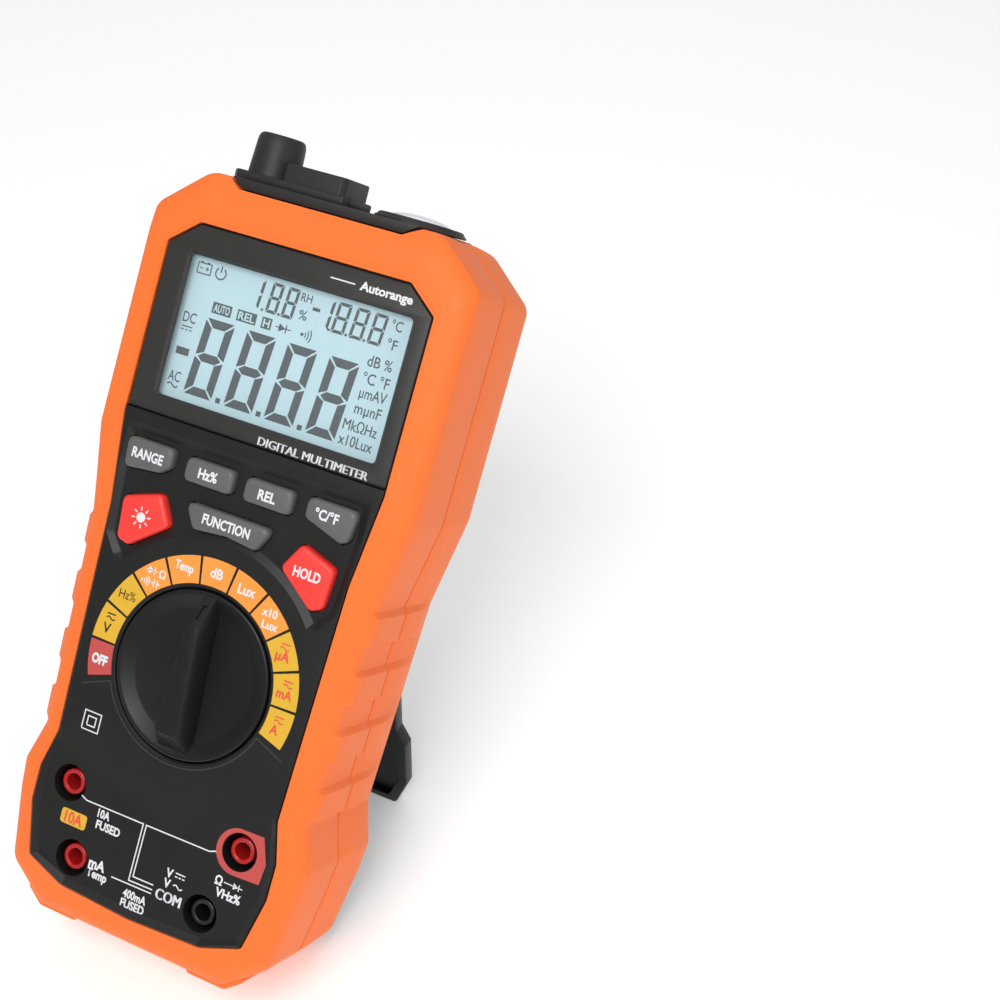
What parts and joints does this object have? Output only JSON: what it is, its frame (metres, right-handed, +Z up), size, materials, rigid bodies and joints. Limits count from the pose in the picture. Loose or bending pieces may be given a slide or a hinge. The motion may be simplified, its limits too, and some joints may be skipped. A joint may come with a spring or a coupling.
{
  "type": "digital multimeter",
  "caption": "Hand-held digital multimeter with a rubber bumper, large display, round range selector, press buttons, shrouded test sockets, top-edge sensors and a fold-out tilt stand.",
  "frame": {"origin": "centre of the bounding box at the table that the meter stands on, leaning back on its open stand", "axes": "+X to the right of the front panel, the front panel faces -Y and up, +Z up"},
  "size_m": [0.0872, 0.1432, 0.1718],
  "materials": {
    "case_black": "fine moulded texture",
    "knob_black": "fine moulded texture",
    "stand_black": "satin moulded",
    "rubber_orange": "soft matt rubber",
    "cap_grey": "satin",
    "cap_red": "satin",
    "bezel_grey": "satin",
    "window_clear": "clear acrylic",
    "lcd_pale": "liquid-crystal glass, lit from behind",
    "diffuser_white": "opal",
    "jack_red": "semi-gloss",
    "board_green": "solder mask",
    "brass": "plain",
    "steel": "plain",
    "ceramic": "pale insulating",
    "part_black": "moulded",
    "silicone": "soft"
  },
  "bodies": {
    "meter": {"front_case": "case_black", "rear_case": "case_black", "sensor_deck": "case_black", "sensor_cap": "case_black", "light_sensor_ring": "case_black", "battery_cover": "case_black", "jack_sleeve_com": "case_black", "battery_snap": "case_black", "front_bumper": "rubber_orange", "rear_bumper": "rubber_orange", "display_bezel": "bezel_grey", "lcd_holder": "bezel_grey", "display_window": "window_clear", "lcd_panel": "lcd_pale", "light_diffuser": "diffuser_white", "backlight_panel": "diffuser_white", "humidity_sensor": "diffuser_white", "jack_sleeve_10a": "jack_red", "jack_sleeve_ma": "jack_red", "jack_sleeve_volt": "jack_red", "main_board": "board_green", "sensor_board": "board_green", "jack_contact_10a": "brass", "jack_contact_ma": "brass", "jack_contact_com": "brass", "jack_contact_volt": "brass", "fuse_clip_10a": "brass", "fuse_clip_ma": "brass", "board_screw_1": "steel", "board_screw_2": "steel", "board_screw_3": "steel", "board_screw_4": "steel", "case_screw_1": "steel", "case_screw_2": "steel", "case_screw_3": "steel", "case_screw_4": "steel", "battery_cover_screw": "steel", "quartz_crystal": "steel", "microphone": "steel", "battery": "steel", "fuse_10a": "ceramic", "fuse_ma": "ceramic", "photodiode": "ceramic", "main_chip": "part_black", "buzzer": "part_black", "keypad_mat": "silicone", "contact_strip": "silicone"},
    "selector": {"selector_knob": "knob_black", "switch_rotor": "ceramic", "rotor_contact": "brass", "detent_spring": "steel"},
    "stand": {"tilt_stand": "stand_black"},
    "range_button": {"range_button": "cap_grey"},
    "hz_button": {"hz_button": "cap_grey"},
    "rel_button": {"rel_button": "cap_grey"},
    "temp_button": {"temp_button": "cap_grey"},
    "function_button": {"function_button": "cap_grey"},
    "light_button": {"light_button": "cap_red"},
    "hold_button": {"hold_button": "cap_red"}
  },
  "joints": [
    {"name": "selector_turn", "type": "hinge", "parent": "meter", "child": "selector", "pos_m": [0, -0.03069, 0.07872], "axis": [0, -0.7811, 0.6244], "range_deg": [-99.1, 99.1]},
    {"name": "stand_fold", "type": "hinge", "parent": "meter", "child": "stand", "pos_m": [0, 0.01335, 0.07423], "axis": [1, 0, 0], "range_deg": [-35.6, 0]},
    {"name": "range_press", "type": "slide", "parent": "meter", "child": "range_button", "axis": [0, 0.7811, -0.6244], "range_m": [0, 0.001], "stiffness_N_per_m": 800, "springref_m": -0.0005},
    {"name": "hz_press", "type": "slide", "parent": "meter", "child": "hz_button", "axis": [0, 0.7811, -0.6244], "range_m": [0, 0.001], "stiffness_N_per_m": 800, "springref_m": -0.0005},
    {"name": "rel_press", "type": "slide", "parent": "meter", "child": "rel_button", "axis": [0, 0.7811, -0.6244], "range_m": [0, 0.001], "stiffness_N_per_m": 800, "springref_m": -0.0005},
    {"name": "temp_press", "type": "slide", "parent": "meter", "child": "temp_button", "axis": [0, 0.7811, -0.6244], "range_m": [0, 0.001], "stiffness_N_per_m": 800, "springref_m": -0.0005},
    {"name": "function_press", "type": "slide", "parent": "meter", "child": "function_button", "axis": [0, 0.7811, -0.6244], "range_m": [0, 0.001], "stiffness_N_per_m": 800, "springref_m": -0.0005},
    {"name": "light_press", "type": "slide", "parent": "meter", "child": "light_button", "axis": [0, 0.7811, -0.6244], "range_m": [0, 0.001], "stiffness_N_per_m": 800, "springref_m": -0.0005},
    {"name": "hold_press", "type": "slide", "parent": "meter", "child": "hold_button", "axis": [0, 0.7811, -0.6244], "range_m": [0, 0.001], "stiffness_N_per_m": 800, "springref_m": -0.0005}
  ]
}
